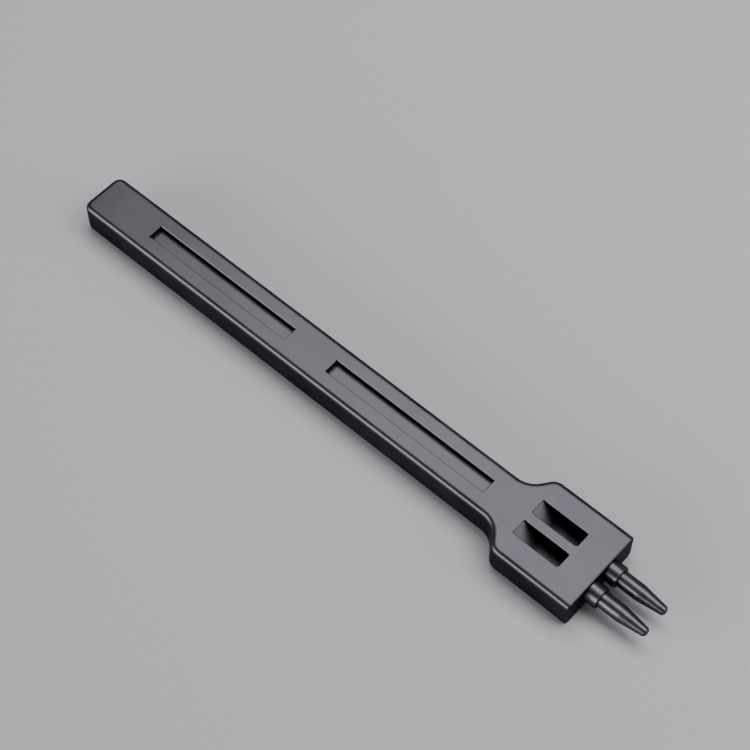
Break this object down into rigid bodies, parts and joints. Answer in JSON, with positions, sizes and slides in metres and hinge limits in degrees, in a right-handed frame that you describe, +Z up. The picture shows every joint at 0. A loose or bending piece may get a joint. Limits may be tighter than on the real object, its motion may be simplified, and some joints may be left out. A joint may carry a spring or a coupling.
{
  "type": "two-tine hole punch",
  "caption": "Flat black steel hand punch for leather, struck on its butt end, with replaceable screw-in tubular tips side by side and slug windows behind them.",
  "frame": {"origin": "middle of the tool's footprint, on the surface it lies on", "axes": "+X along the tool towards its tips, +Z up, +Y towards the left tip as seen from the butt end"},
  "size_m": [0.1544, 0.0212, 0.0079],
  "materials": {
    "black_coated_steel": "fine satin black coating",
    "black_oxide_tip_left": "turned steel, black oxide",
    "black_oxide_tip_right": "turned steel, black oxide"
  },
  "bodies": {
    "body": {"punch_body": "black_coated_steel"},
    "tip_left": {"punch_tip_left": "black_oxide_tip_left"},
    "tip_right": {"punch_tip_right": "black_oxide_tip_right"}
  },
  "joints": [
    {"name": "unscrew_tip_left", "type": "slide", "parent": "body", "child": "tip_left", "axis": [1, 0, 0], "range_m": [0, 0.007]},
    {"name": "unscrew_tip_right", "type": "slide", "parent": "body", "child": "tip_right", "axis": [1, 0, 0], "range_m": [0, 0.007]}
  ]
}
